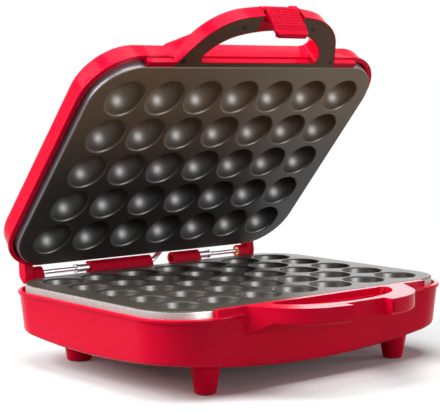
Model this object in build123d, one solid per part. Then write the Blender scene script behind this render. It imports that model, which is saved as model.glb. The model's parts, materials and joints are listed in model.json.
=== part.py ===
from build123d import *
import math
import os

# A countertop maker that bakes small round cakes between two pocketed plates.
# Millimetres. X runs across, -Y is the front with the handles, +Z is up.
#
# Both halves are built in one half frame: z = 0 is the plane where the plates
# meet, +z leads away from it, and y is the maker's own y. The lower half is
# that frame turned over, the upper half is swung open about the hinge.

# ---- pockets and plates ----
POCKET_PITCH = 38.0
POCKET_COLUMNS = 7
POCKET_ROWS = 5
BALL_RADIUS = 16.7
POCKET_LIP_RADIUS = 1.65  # rounding of a pocket's mouth
CUP_WALL = 2.0
PLATE_EDGE_X = 32.5  # outer pocket's centre to the plate's edge
PLATE_EDGE_Y = 31.3
PLATE_CORNER = 37.0
PLATE_SKIN = 3.0
PLATE_EDGE_RADIUS = 1.5
SKIRT_DEPTH = 12.0  # bare edge band, partly hidden in the casing
SKIRT_WALL = 2.5
FACE_GAP = 0.5  # between the faces of the closed plates

# ---- casings ----
CASING_GAP = 5.0  # plate edge to the casing's outer face
CASING_WALL = 2.5
LIP_DEPTH = 5.6  # casing edge below the plates' meeting plane
BEAD_OUT = 1.2
BEAD_HEIGHT = 3.0
BEAD_RADIUS = 1.1
BASE_DRAFT = 6.0  # degrees
BELLY_DEPTH = 57.0  # lowest point of the base's domed floor
BELLY_RADIUS = 800.0
BELLY_EDGE_RADIUS = 4.0
LID_DRAFT = 4.0
LID_WALL_TOP = 22.0
LID_TOP = 39.0
LID_SLOPE = 54.0  # degrees from upright
LID_SHOULDER_RADIUS = 5.0
LID_TOP_RADIUS = 9.0
PARTING_HEIGHT = 66.0  # plates' meeting plane above the table

# ---- legs ----
LEG_INSET_X = 51.5  # casing's outer faces to the legs' centres
FRONT_LEG_INSET = 25.8
BACK_LEG_INSET = 37.3
LEG_ROOT = 19.0  # leg's start above the floor's lowest point
FRONT_LEG_TOP_RADIUS = 13.0
FRONT_LEG_FOOT_RADIUS = 8.0
BACK_LEG_TOP_RADIUS = 14.0
BACK_LEG_FOOT_RADIUS = 10.0
PAD_THICKNESS = 3.0
PAD_PROUD = 1.0
PAD_MARGIN = 1.6  # leg's rim round the pad
PAD_CLEARANCE = 0.1

# ---- handles ----
HANDLE_REACH = 47.5  # casing's front face to the handle's front
HANDLE_NOSE_RADIUS = 217.0
HANDLE_NOSE_TURN = 9.5  # degrees to each side of the middle
HANDLE_SHOULDER_RADIUS = 52.0
HANDLE_SHOULDER_TURN = 51.0
HANDLE_THICKNESS = 13.0
HANDLE_ROOT_DEPTH = 22.0
HANDLE_FAIRING = 17.0  # length of the sloped root
HANDLE_EDGE_RADIUS = 2.6
HANDLE_BAR = 15.2  # bar's width at its middle
FINGER_NOSE_RADIUS = 120.0
FINGER_NOSE_TURN = 17.5
FINGER_SHOULDER_RADIUS = 43.0
FINGER_SHOULDER_TURN = 42.5
FINGER_ROOT_SPREAD = 1.5  # opening's widening from its shoulder to the casing
FINGER_CORNER_RADIUS = 4.0
COVER_RIM = 0.9  # casing's rim round the cover
COVER_THICKNESS = 2.0
COVER_CLEARANCE = 0.15
COVER_LEDGE = 2.0
HANDLE_HOLLOW_SKIN = 3.0  # base handle, open from below
HANDLE_HOLLOW_DEPTH = 9.0
FRONT_WALL_GAP = 0.5  # raised front wall to the plate's edge
FRONT_SCREW_SHARE = 0.44  # screw's place, from the opening's edge to the handle's
REAR_SCREW_SHARE = 0.74
REAR_SCREW_REACH = 0.7  # beyond the casing's front
COVER_BOSS_RADIUS = 3.6
COVER_SCREW_RADIUS = 1.4
COVER_SCREW_END = 7.7
COVER_HEAD_SUNK = 0.2
COVER_HEAD_RADIUS = 2.3
COVER_HEAD_HEIGHT = 1.2

# ---- latch ----
LATCH_NOTCH_WIDTH = 41.0
LATCH_SIDE_GAP = 0.6
LATCH_WIDTH = 34.0  # finger plate below its hub
LID_NOTCH_DEPTH = 7.3  # handle's nose to the bar behind the latch
BASE_NOTCH_DEPTH = 9.8
LATCH_PIN_RADIUS = 1.5
LATCH_PIN_BITE = 4.0  # pin's seat in each side of the notch
LATCH_PIN_DEPTH = 9.0
LATCH_HUB_RADIUS = 3.6
LATCH_BAR_GAP = 0.4  # hub to the bar behind it
LATCH_PLATE = 2.4
RIDGE_DROP = 18.0  # pin to the ridge across the finger plate
RIDGE_LEAN = 3.8
RIDGE_STEP = 1.2
TAB_LEAN = 0.9
TAB_ROUND = 1.5
TAB_CORNER = 6.0  # tab's lower corners, seen from the front
HOOK_DROP = 1.0  # base bar's underside to the hook
HOOK_HEIGHT = 3.0
HOOK_GAP = 0.6  # hook's tip to the base's bar while unlocked
HOOK_ROOT_GAP = 2.2  # finger plate's back to the base's bar while unlocked
LOOP_X = 15.5  # raised knuckle on the latch's hub
LOOP_WIDTH = 7.0
LOOP_RADIUS = 5.0

# ---- hinge ----
HINGE_BEHIND = 5.9  # axis behind the casing's rear face
HINGE_ABOVE = 1.9  # axis above the plates' meeting plane
LID_OPEN_ANGLE = 49.0  # as it stands open at rest
EAR_INNER_X = 118.0
EAR_WIDTH = 8.0
EAR_RADIUS = 4.8
EAR_TAIL_RADIUS = 1.6
EAR_TAIL_BACK = 3.2  # tail's middle from the hinge axis
EAR_TAIL_DROP = 5.6
EAR_ROOT = 12.0  # height of the ear's root on the casing
EAR_SKIN = 2.0  # ear's closed outer side
LUG_GAP = 0.5
LUG_WIDTH = 9.0
LUG_RADIUS = 5.6
LUG_ROOT = 16.0
HINGE_PIN_RADIUS = 2.2
PIN_END_GAP = 0.1
PIN_REACH = 8.0  # pin's end inside its barrel
BARREL_HALF = 60.0  # middle of the maker to the outer end of each barrel
COLLAR_GAP = 1.0  # pin's collar to the barrel's end
COLLAR_RADIUS = 3.6
COLLAR_LENGTH = 11.0
COLLAR_RIM_RADIUS = 4.2
COLLAR_RIM = 1.6
BUSH_WALL = 1.2
RUNNING_GAP = 0.05
SEAT_GAP = 0.02

# ---- lead passage at the hinge ----
SLEEVE_RADIUS = 2.6
SLEEVE_WALL = 0.5
SLEEVE_CLEARANCE = 0.3
LEAD_LUG_X = 0.0
LEAD_LUG_WIDTH = 10.0
SLEEVE_BEND = 7.0
SLEEVE_RUN = 22.0  # sideways, while it climbs behind the lid

# ---- carriers and what they hold ----
CARRIER_DEPTH = 24.5
CARRIER_SHEET = 0.8
CARRIER_MARGIN = 7.5  # carrier's edge inside the plate's edge
CARRIER_RIM = 5.0
CARRIER_CORNER = 30.0
BOSS_INSET_X = 51.5  # plate's edges to its spigots
BOSS_INSET_Y = 14.3
BOSS_RADIUS = 5.0
SPIGOT_RADIUS = 2.6
SPIGOT_LENGTH = 4.0
RETAINER_RADIUS = 5.4
RETAINER_THICKNESS = 1.2
POST_INSET_X = 26.5  # plate's edges to the carrier's screws
POST_INSET_Y = 25.3
POST_RADIUS = 4.5
CARRIER_SCREW_RADIUS = 1.9
CARRIER_SCREW_LENGTH = 7.0
CARRIER_HEAD_RADIUS = 3.8
CARRIER_HEAD_HEIGHT = 2.2
SCREW_HOLE_GAP = 0.25

# ---- heating elements ----
ELEMENT_RADIUS = 3.25
ELEMENT_GAP = 0.3
ELEMENT_BEND = 12.0
ELEMENT_LEG_INSET = 23.3  # plate's rear edge to the element's legs
ELEMENT_LEG_DEPTH = 29.0
TERMINAL_PIN_RADIUS = 1.4
TERMINAL_PIN_LENGTH = 4.5
BEAD_WALL = 1.8
BEAD_FLANGE = 1.6
BEAD_FLANGE_HEIGHT = 1.6
BEAD_LENGTH = 5.0
PROP_WIDTH = 9.0
PROP_SHEET = 1.0

# ---- controls and wiring ----
THERMOSTAT_RADIUS = 7.0
THERMOSTAT_FLANGE = 3.6
THERMOSTAT_CAN_RADIUS = 5.6
THERMOSTAT_HEIGHT = 9.0
THERMOSTAT_TAB = 1.0
THERMOSTAT_TAB_WIDTH = 3.0
THERMOSTAT_TAB_REACH = 3.0
THERMOSTAT_TAB_LENGTH = 5.0
FUSE_RADIUS = 2.2
FUSE_LENGTH = 14.0
FUSE_SHOE = 1.0
FUSE_TAIL = 2.0
FUSE_SINK = 0.8  # fuse's centre above its shoe, in radii
BLOCK_LENGTH = 34.0
BLOCK_WIDTH = 17.0
BLOCK_HEIGHT = 13.0
BLOCK_INSET = 46.3  # casing's rear face to the block
BLOCK_TOP_DEPTH = 31.0
BLOCK_FOOT = 4.0
BLOCK_WAYS = 3
BLOCK_WAY_RADIUS = 2.2
LEAD_RADIUS = 1.1
LEAD_BITE = 4.0  # wire's length inside a terminal
LEAD_RISE = 1.5  # least rise of a wire past an element's pin, in bends
GLAND_X = 60.0
GLAND_DEPTH = 24.0
GLAND_BORE_RADIUS = 3.6
GLAND_WALL = 2.4
GLAND_FLANGE = 2.4
GLAND_FLANGE_THICKNESS = 3.0
GLAND_INSIDE = 6.0
GLAND_GAP = 2.0  # gland's flange to the barrel's root above it

# ---- lamps on the lid ----
LAMP_X = 11.0
LAMP_INSET = 52.3  # casing's front face to the lamps
LENS_RADIUS = 4.5
LENS_FLANGE = 1.2
LENS_PROUD = 1.4
LENS_BARREL = 8.0
LAMP_RADIUS = 2.6
LAMP_LENGTH = 9.0

# ---- sizes worked out from those above ----
PLATE_HALF_X = POCKET_PITCH * (POCKET_COLUMNS - 1) / 2 + PLATE_EDGE_X
PLATE_HALF_Y = POCKET_PITCH * (POCKET_ROWS - 1) / 2 + PLATE_EDGE_Y
CASE_HALF_X = PLATE_HALF_X + CASING_GAP
CASE_HALF_Y = PLATE_HALF_Y + CASING_GAP
CASE_CORNER = PLATE_CORNER + CASING_GAP
FACE = FACE_GAP / 2
FRONT_WALL_HALF = CASE_HALF_X - CASE_CORNER
HANDLE_NOSE_Y = -CASE_HALF_Y - HANDLE_REACH
HINGE_Y = CASE_HALF_Y + HINGE_BEHIND
CUP_RADIUS = BALL_RADIUS + CUP_WALL
HALF_PITCH = POCKET_PITCH / 2
ELEMENT_SPAN = CUP_RADIUS + ELEMENT_RADIUS + ELEMENT_GAP
ELEMENT_DEPTH = math.sqrt(ELEMENT_SPAN**2 - HALF_PITCH**2)
ELEMENT_SIDE_X = POCKET_PITCH * (POCKET_COLUMNS - 1) / 2 + HALF_PITCH
ELEMENT_ROW_Y = POCKET_PITCH * (POCKET_ROWS - 2) / 2
ELEMENT_LEG_Y = PLATE_HALF_Y - ELEMENT_LEG_INSET
CARRIER_BACK = CARRIER_DEPTH + CARRIER_SHEET
BOSS_X = PLATE_HALF_X - BOSS_INSET_X
BOSS_Y = PLATE_HALF_Y - BOSS_INSET_Y
POST_X = PLATE_HALF_X - POST_INSET_X
POST_Y = PLATE_HALF_Y - POST_INSET_Y
BLOCK_Y = CASE_HALF_Y - BLOCK_INSET
LAMP_Y = LAMP_INSET - CASE_HALF_Y
LEG_X = CASE_HALF_X - LEG_INSET_X
FRONT_LEG_Y = FRONT_LEG_INSET - CASE_HALF_Y
BACK_LEG_Y = CASE_HALF_Y - BACK_LEG_INSET
LID_BAR_FRONT_Y = HANDLE_NOSE_Y + LID_NOTCH_DEPTH
BASE_BAR_FRONT_Y = HANDLE_NOSE_Y + BASE_NOTCH_DEPTH
HANDLE_FLAT_Y = -CASE_HALF_Y - HANDLE_FAIRING
LATCH_PIN_Y = LID_BAR_FRONT_Y - LATCH_HUB_RADIUS - LATCH_BAR_GAP
HANDLE_ARCH = (
    HANDLE_NOSE_Y,
    HANDLE_NOSE_RADIUS,
    HANDLE_NOSE_TURN,
    HANDLE_SHOULDER_RADIUS,
    HANDLE_SHOULDER_TURN,
)
FINGER_ARCH = (
    HANDLE_NOSE_Y + HANDLE_BAR,
    FINGER_NOSE_RADIUS,
    FINGER_NOSE_TURN,
    FINGER_SHOULDER_RADIUS,
    FINGER_SHOULDER_TURN,
)
LUG_OUTER_X = EAR_INNER_X - LUG_GAP
LUG_INNER_X = LUG_OUTER_X - LUG_WIDTH
EAR_OUTER_X = EAR_INNER_X + EAR_WIDTH
LEAD_LUG_END = LEAD_LUG_X + LEAD_LUG_WIDTH / 2
SLEEVE_TURN_X = LEAD_LUG_END + SLEEVE_BEND / 2
RIGHT_BARREL_X = SLEEVE_TURN_X + SLEEVE_RUN
GLAND_SLOPE = math.tan(math.radians(BASE_DRAFT))
GLAND_REACH = GLAND_BORE_RADIUS + GLAND_WALL + GLAND_FLANGE
GLAND_Y = CASE_HALF_Y + GLAND_SLOPE * (LIP_DEPTH + GLAND_REACH - GLAND_DEPTH)
MIRROR_SIDES = (-1, 1)
CORNERS = [(sx, sy) for sx in MIRROR_SIDES for sy in MIRROR_SIDES]


def plan(inset):
    """The plates' outline, grown or shrunk, as a sketch at z = 0."""
    return RectangleRounded(
        2 * (PLATE_HALF_X - inset), 2 * (PLATE_HALF_Y - inset), PLATE_CORNER - inset
    )


def case_plan(inset):
    return plan(inset - CASING_GAP)


def rod_x(radius, x_from, x_to, y, z):
    """A round bar along X."""
    middle = ((x_from + x_to) / 2, y, z)
    return Pos(*middle) * Rot(0, 90, 0) * Cylinder(radius, abs(x_to - x_from))


def rod_y(radius, x, y_from, y_to, z):
    """A round bar along Y."""
    return Pos(x, (y_from + y_to) / 2, z) * Rot(90, 0, 0) * Cylinder(radius, abs(y_to - y_from))


def rod_z(radius, x, y, z_from, z_to):
    """A round bar along Z."""
    return Pos(x, y, (z_from + z_to) / 2) * Cylinder(radius, abs(z_to - z_from))


def block(x_from, x_to, y_from, y_to, z_from, z_to):
    """A box between two corners."""
    middle = ((x_from + x_to) / 2, (y_from + y_to) / 2, (z_from + z_to) / 2)
    return Pos(*middle) * Box(abs(x_to - x_from), abs(y_to - y_from), abs(z_to - z_from))


def side_slab(profile, x_from, x_to):
    """A profile drawn in (y, z), made solid from x_from to x_to."""
    return Pos(x_from, 0, 0) * extrude(Plane.YZ * profile, x_to - x_from)


def along(path, radius):
    """A round bar along a path."""
    return sweep(Plane(origin=path @ 0, z_dir=path % 0) * Circle(radius), path)


def pocket_centres():
    """(x, y) of every pocket."""
    return [
        ((column - (POCKET_COLUMNS - 1) / 2) * POCKET_PITCH, (row - (POCKET_ROWS - 1) / 2) * POCKET_PITCH)
        for column in range(POCKET_COLUMNS)
        for row in range(POCKET_ROWS)
    ]


# ---------------------------------------------------------------- plates
def pocket_cutter():
    """Half a ball with a rounded mouth, opening at the plate's face."""
    lip_z = FACE + POCKET_LIP_RADIUS
    lip_x = math.sqrt((BALL_RADIUS + POCKET_LIP_RADIUS) ** 2 - lip_z**2)
    share = BALL_RADIUS / (BALL_RADIUS + POCKET_LIP_RADIUS)
    meet = (lip_x * share, lip_z * share)
    turn = math.radians((-90 - math.degrees(math.atan2(lip_z, lip_x)) - 180) / 2)
    lip_middle = (lip_x + POCKET_LIP_RADIUS * math.cos(turn), lip_z + POCKET_LIP_RADIUS * math.sin(turn))
    half = math.atan2(meet[1], meet[0]) / 2 + math.pi / 4
    ball_middle = (BALL_RADIUS * math.cos(half), BALL_RADIUS * math.sin(half))
    outline = Polyline((0, BALL_RADIUS), (0, -1), (lip_x, -1), (lip_x, FACE))
    outline += ThreePointArc((lip_x, FACE), lip_middle, meet)
    outline += ThreePointArc(meet, ball_middle, (0, BALL_RADIUS))
    return revolve(Plane.XZ * make_face(outline), Axis.Z)


def plate():
    """One cast plate: a flat skin with cups behind it, an edge skirt and four spigots."""
    slab = Pos(0, 0, FACE) * extrude(plan(0), PLATE_SKIN)
    slab = fillet(slab.faces().sort_by(Axis.Z)[0].outer_wire().edges(), PLATE_EDGE_RADIUS)
    skirt = Pos(0, 0, FACE + PLATE_SKIN) * extrude(plan(0) - plan(SKIRT_WALL), SKIRT_DEPTH - PLATE_SKIN)
    behind = block(-CUP_RADIUS, CUP_RADIUS, -CUP_RADIUS, CUP_RADIUS, FACE + PLATE_SKIN / 2, CUP_RADIUS + 1)
    cup = Sphere(CUP_RADIUS) & behind
    cups = [Pos(x, y, 0) * cup for x, y in pocket_centres()]
    bosses = []
    for sx, sy in CORNERS:
        x, y = sx * BOSS_X, sy * BOSS_Y
        bosses.append(rod_z(BOSS_RADIUS, x, y, FACE + PLATE_SKIN / 2, CARRIER_DEPTH))
        bosses.append(rod_z(SPIGOT_RADIUS, x, y, CARRIER_DEPTH - 1, CARRIER_DEPTH + SPIGOT_LENGTH))
    body = slab + skirt + cups + bosses
    cutter = pocket_cutter()
    return body - [Pos(x, y, 0) * cutter for x, y in pocket_centres()]


# ---------------------------------------------------------------- carriers, elements
def element_path():
    """Centre line of the heating element: one loop between the pocket rows, with two legs."""
    points = []
    for sx in (1, -1):
        side = [
            (sx * HALF_PITCH, ELEMENT_LEG_Y, ELEMENT_LEG_DEPTH),
            (sx * HALF_PITCH, ELEMENT_LEG_Y, ELEMENT_DEPTH),
            (sx * HALF_PITCH, ELEMENT_ROW_Y, ELEMENT_DEPTH),
            (sx * ELEMENT_SIDE_X, ELEMENT_ROW_Y, ELEMENT_DEPTH),
            (sx * ELEMENT_SIDE_X, -ELEMENT_ROW_Y, ELEMENT_DEPTH),
        ]
        points += side if sx > 0 else side[::-1]
    return FilletPolyline(*points, radius=ELEMENT_BEND)


def element():
    tube = along(element_path(), ELEMENT_RADIUS)
    end = ELEMENT_LEG_DEPTH + TERMINAL_PIN_LENGTH
    for sx in MIRROR_SIDES:
        tube += rod_z(TERMINAL_PIN_RADIUS, sx * HALF_PITCH, ELEMENT_LEG_Y, ELEMENT_LEG_DEPTH - 1, end)
    return tube


def element_beads():
    """Ceramic collars that carry the element's legs in the carrier's holes."""
    beads = []
    for sx in MIRROR_SIDES:
        x, y = sx * HALF_PITCH, ELEMENT_LEG_Y
        collar = ELEMENT_RADIUS + BEAD_WALL
        bead = rod_z(collar, x, y, CARRIER_BACK, CARRIER_BACK + BEAD_LENGTH - BEAD_FLANGE_HEIGHT)
        bead += rod_z(collar - RUNNING_GAP, x, y, CARRIER_DEPTH, CARRIER_BACK)
        bead += rod_z(collar + BEAD_FLANGE, x, y, CARRIER_BACK, CARRIER_BACK + BEAD_FLANGE_HEIGHT)
        beads.append(bead - rod_z(ELEMENT_RADIUS + SEAT_GAP, x, y, 0, 2 * CARRIER_DEPTH))
    return beads


def carrier():
    """Sheet-steel pan behind the plate: reflects the heat and carries plate and element."""
    inset = CARRIER_MARGIN
    outline = RectangleRounded(2 * (PLATE_HALF_X - inset), 2 * (PLATE_HALF_Y - inset), CARRIER_CORNER)
    inner = RectangleRounded(
        2 * (PLATE_HALF_X - inset - CARRIER_SHEET),
        2 * (PLATE_HALF_Y - inset - CARRIER_SHEET),
        CARRIER_CORNER - CARRIER_SHEET,
    )
    pan = Pos(0, 0, CARRIER_DEPTH) * extrude(outline, CARRIER_SHEET)
    pan += Pos(0, 0, CARRIER_DEPTH - CARRIER_RIM) * extrude(outline - inner, CARRIER_RIM)
    through = (0, 2 * CARRIER_DEPTH)
    spigot_hole = SPIGOT_RADIUS + SCREW_HOLE_GAP
    screw_hole = CARRIER_SCREW_RADIUS + SCREW_HOLE_GAP
    leg_hole = ELEMENT_RADIUS + BEAD_WALL
    holes = [rod_z(leg_hole, sx * HALF_PITCH, ELEMENT_LEG_Y, *through) for sx in MIRROR_SIDES]
    for sx, sy in CORNERS:
        holes.append(rod_z(spigot_hole, sx * BOSS_X, sy * BOSS_Y, *through))
        holes.append(rod_z(screw_hole, sx * POST_X, sy * POST_Y, *through))
    return pan - holes


def plate_retainers():
    """Spring washers pushed over the plate's spigots behind the carrier."""
    back = CARRIER_BACK + RETAINER_THICKNESS
    return [
        rod_z(RETAINER_RADIUS, sx * BOSS_X, sy * BOSS_Y, CARRIER_BACK, back)
        - rod_z(SPIGOT_RADIUS + SEAT_GAP, sx * BOSS_X, sy * BOSS_Y, 0, 2 * CARRIER_DEPTH)
        for sx, sy in CORNERS
    ]


def carrier_screws():
    screws = []
    for sx, sy in CORNERS:
        x, y = sx * POST_X, sy * POST_Y
        screw = rod_z(CARRIER_HEAD_RADIUS, x, y, CARRIER_DEPTH - CARRIER_HEAD_HEIGHT, CARRIER_DEPTH)
        screw += rod_z(CARRIER_SCREW_RADIUS, x, y, CARRIER_DEPTH - 1, CARRIER_BACK + CARRIER_SCREW_LENGTH)
        slot = block(-CARRIER_HEAD_RADIUS, CARRIER_HEAD_RADIUS, -0.5, 0.5, -1, 1)
        screws.append(screw - Pos(x, y, CARRIER_DEPTH - CARRIER_HEAD_HEIGHT) * slot)
    return screws


def element_props():
    """Bent straps that stand on the carrier and press the element to the plate."""
    props = []
    top = ELEMENT_DEPTH + ELEMENT_RADIUS
    reach = ELEMENT_RADIUS + 2 * PROP_SHEET
    for x in (-3 * POCKET_PITCH + HALF_PITCH, 3 * POCKET_PITCH - HALF_PITCH):
        for sy in MIRROR_SIDES:
            y = sy * ELEMENT_ROW_Y
            half = PROP_WIDTH / 2
            clear = reach - PROP_SHEET
            arch = block(x - half, x + half, y - reach, y + reach, top, CARRIER_DEPTH)
            under = block(x - half, x + half, y - clear, y + clear, top + PROP_SHEET, CARRIER_DEPTH)
            props.append(arch - under)
    return props


def carrier_posts(floor):
    """Posts between the carrier and the casing's floor."""
    return [rod_z(POST_RADIUS, sx * POST_X, sy * POST_Y, CARRIER_BACK, floor) for sx, sy in CORNERS]


def carrier_post_holes():
    depth = CARRIER_BACK + CARRIER_SCREW_LENGTH + 0.5
    return [
        rod_z(CARRIER_SCREW_RADIUS + SEAT_GAP, sx * POST_X, sy * POST_Y, CARRIER_BACK - 1, depth)
        for sx, sy in CORNERS
    ]


# ---------------------------------------------------------------- handles
def arch_plan(nose_y, nose_radius, nose_turn, shoulder_radius, shoulder_turn, root_x, root_y):
    """Symmetrical arch: a shallow nose arc, two shoulder arcs, and straight sides to the root."""
    nose = CenterArc((0, nose_y + nose_radius), nose_radius, 270 - nose_turn, 2 * nose_turn)
    right = JernArc(nose @ 1, nose % 1, shoulder_radius, shoulder_turn)
    left = mirror(right, Plane.YZ)
    end = right @ 1
    rest = Polyline(end, (root_x, root_y), (-root_x, root_y), (-end.X, end.Y))
    return make_face([*nose.edges(), *right.edges(), *left.edges(), *rest.edges()])


def arch_joints(nose_y, nose_radius, nose_turn, shoulder_radius, shoulder_turn):
    """(x, y) of the ends of an arch's nose arc and shoulder arc, on the right."""
    nose = math.radians(nose_turn)
    heading = math.radians(nose_turn + shoulder_turn)
    x = nose_radius * math.sin(nose)
    y = nose_y + nose_radius * (1 - math.cos(nose))
    side_x = x + shoulder_radius * (math.sin(heading) - math.sin(nose))
    side_y = y + shoulder_radius * (math.cos(nose) - math.cos(heading))
    return (x, y), (side_x, side_y)


def handle_root():
    """Where the handle's straight side ends, inside the casing."""
    _, (side_x, side_y) = arch_joints(*HANDLE_ARCH)
    heading = math.radians(HANDLE_NOSE_TURN + HANDLE_SHOULDER_TURN)
    root_y = -CASE_HALF_Y + 2 * CASING_WALL + 4
    return side_x + (root_y - side_y) / math.tan(heading), root_y


def finger_root():
    """Corner of the opening at the casing's front."""
    _, (side_x, _) = arch_joints(*FINGER_ARCH)
    return side_x + FINGER_ROOT_SPREAD, -CASE_HALF_Y


def line_x(start, end, y):
    """x at y on the line through two points."""
    return start[0] + (end[0] - start[0]) * (y - start[1]) / (end[1] - start[1])


def handle_plan(inset=0.0):
    """Outline of the whole D-shaped handle, from inside the casing to its nose."""
    face = arch_plan(*HANDLE_ARCH, *handle_root())
    return offset(face, -inset) if inset else face


def finger_plan(grow=0.0):
    """Outline of the opening that the fingers go through."""
    root_x, root_y = finger_root()
    face = arch_plan(*FINGER_ARCH, root_x, root_y)
    corners = [v for v in face.vertices() if abs(v.Y - root_y) < 0.01]
    face = fillet(corners, FINGER_CORNER_RADIUS)
    return offset(face, grow) if grow else face


def handle_side_profile():
    """Side view of a handle: an even bar that thickens towards the casing."""
    front = HANDLE_NOSE_Y - 5
    root = -CASE_HALF_Y
    back = root + 2 * CASING_WALL + 5
    return make_face(
        Polyline(
            (front, FACE),
            (front, HANDLE_THICKNESS),
            (HANDLE_FLAT_Y, HANDLE_THICKNESS),
            (root, HANDLE_ROOT_DEPTH),
            (back, HANDLE_ROOT_DEPTH),
            (back, FACE),
            close=True,
        )
    )


def handle_bar(bar_front_y):
    """The handle's bar with its finger opening and the notch for the latch."""
    bar = extrude(handle_plan(), HANDLE_ROOT_DEPTH)
    bar &= side_slab(handle_side_profile(), -CASE_HALF_X, CASE_HALF_X)
    outer = [e for e in bar.edges() if e.center().Z > HANDLE_THICKNESS - 0.01]
    rim = [e for e in outer if abs(e.center().X) > 1 or e.center().Y < HANDLE_NOSE_Y + 1]
    bar = fillet(rim, HANDLE_EDGE_RADIUS)
    bar -= extrude(finger_plan(), 2 * HANDLE_ROOT_DEPTH)
    notch = LATCH_NOTCH_WIDTH / 2
    return bar - block(-notch, notch, 2 * HANDLE_NOSE_Y, bar_front_y, -1, 2 * HANDLE_THICKNESS)


def bar_hollow():
    """What the base's handle loses from below, beside the latch's slot."""
    ring = handle_plan(HANDLE_HOLLOW_SKIN) - finger_plan(HANDLE_HOLLOW_SKIN)
    near = LATCH_NOTCH_WIDTH / 2 + HANDLE_HOLLOW_SKIN
    hollow = extrude(ring, 2 * HANDLE_THICKNESS)
    hollows = []
    for side in MIRROR_SIDES:
        window = block(
            side * near,
            side * CASE_HALF_X,
            HANDLE_NOSE_Y,
            HANDLE_FLAT_Y,
            HANDLE_HOLLOW_SKIN,
            2 * HANDLE_THICKNESS,
        )
        hollows.append(hollow & window)
    return hollows


def handle_ring(inset):
    """Handle's outline less the opening's, both drawn in by the inset."""
    return handle_plan(inset) - finger_plan(inset)


def cover_plan(inset):
    """Outline of the lid handle's cover, open at the latch's notch."""
    rear = -PLATE_HALF_Y - FRONT_WALL_GAP
    reach = rear - 2 * HANDLE_NOSE_Y
    face = handle_ring(COVER_RIM + inset) & Pos(0, rear - reach / 2) * Rectangle(2 * CASE_HALF_X, reach)
    notch = LATCH_NOTCH_WIDTH + 2 * (COVER_RIM + inset)
    front = HANDLE_NOSE_Y + HANDLE_BAR - 2 * COVER_RIM
    return face - Pos(0, front) * Rectangle(notch, 2 * HANDLE_BAR)


def cover_screw_places():
    """(x, y) of the cover's four screws."""
    handle_nose, handle_side = arch_joints(*HANDLE_ARCH)
    finger_nose, finger_side = arch_joints(*FINGER_ARCH)
    front_x, front_y = [f + FRONT_SCREW_SHARE * (h - f) for f, h in zip(finger_nose, handle_nose)]
    rear_y = -CASE_HALF_Y - REAR_SCREW_REACH
    inner_x = line_x(finger_side, finger_root(), rear_y)
    outer_x = line_x(handle_side, handle_root(), rear_y)
    rear_x = inner_x + REAR_SCREW_SHARE * (outer_x - inner_x)
    return [(side * x, y) for side in MIRROR_SIDES for x, y in ((front_x, front_y), (rear_x, rear_y))]


def handle_recess():
    """What the lid's handle loses to its hollows, the cover's seat and the screws' holes."""
    recess = [extrude(cover_plan(0), COVER_THICKNESS)]
    ring = extrude(handle_ring(COVER_RIM + COVER_LEDGE), HANDLE_HOLLOW_DEPTH)
    bosses = [rod_z(COVER_BOSS_RADIUS, x, y, 0, 2 * HANDLE_HOLLOW_DEPTH) for x, y in cover_screw_places()]
    near = LATCH_NOTCH_WIDTH / 2 + LATCH_PIN_BITE + COVER_RIM
    rear = -CASE_HALF_Y - COVER_LEDGE
    for side in MIRROR_SIDES:
        window = block(side * near, side * CASE_HALF_X, 2 * HANDLE_NOSE_Y, rear, 0, HANDLE_HOLLOW_DEPTH)
        recess.append((ring & window) - bosses)
    for x, y in cover_screw_places():
        recess.append(rod_z(COVER_SCREW_RADIUS + SEAT_GAP, x, y, 0, COVER_SCREW_END + 0.5))
    return recess


def handle_cover():
    """The cover plate of the lid's handle, its outer face at z = 0."""
    cover = extrude(cover_plan(COVER_CLEARANCE), COVER_THICKNESS)
    for x, y in cover_screw_places():
        cover -= rod_z(COVER_SCREW_RADIUS + SCREW_HOLE_GAP, x, y, -1, 2 * COVER_THICKNESS)
        cover -= rod_z(COVER_HEAD_RADIUS + SCREW_HOLE_GAP, x, y, -1, COVER_HEAD_HEIGHT)
    return cover


def cover_screws():
    """The four screws of the handle's cover, heads just below its face."""
    screws = []
    for x, y in cover_screw_places():
        screw = rod_z(COVER_HEAD_RADIUS, x, y, COVER_HEAD_SUNK, COVER_HEAD_HEIGHT)
        screw += rod_z(COVER_SCREW_RADIUS, x, y, COVER_HEAD_HEIGHT - 0.5, COVER_SCREW_END)
        slot = block(-COVER_HEAD_RADIUS, COVER_HEAD_RADIUS, -0.35, 0.35, -0.5, 0.5)
        screws.append(screw - Pos(x, y, COVER_HEAD_SUNK) * slot)
    return screws


# ---------------------------------------------------------------- casings
def edge_bead():
    """Small bead round the casing's edge, with the casing's wall below it."""
    bead = Pos(0, 0, LIP_DEPTH) * extrude(case_plan(-BEAD_OUT), BEAD_HEIGHT)
    ends = bead.faces().sort_by(Axis.Z)
    return fillet(ends[0].edges() + ends[-1].edges(), BEAD_RADIUS)


def front_wall():
    """The casing's front wall where it rises to the parting plane and meets the plate."""
    half = FRONT_WALL_HALF
    return block(-half, half, -CASE_HALF_Y, -PLATE_HALF_Y - FRONT_WALL_GAP, FACE, LIP_DEPTH + 1)


def belly_ball(inset):
    """Ball whose crown is the base's domed floor; its poles lie well off the floor."""
    return Pos(0, 0, BELLY_DEPTH - BELLY_RADIUS) * Rot(90, 0, 0) * Sphere(BELLY_RADIUS - inset)


def base_block(inset):
    """Outside of the base's casing, or its inside when inset by the wall."""
    start = LIP_DEPTH if inset == 0 else 0
    spread = math.tan(math.radians(BASE_DRAFT)) * (LIP_DEPTH - start)
    body = Pos(0, 0, start) * extrude(case_plan(inset - spread), BELLY_DEPTH - start + 1, taper=BASE_DRAFT)
    return body & belly_ball(inset)


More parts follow.
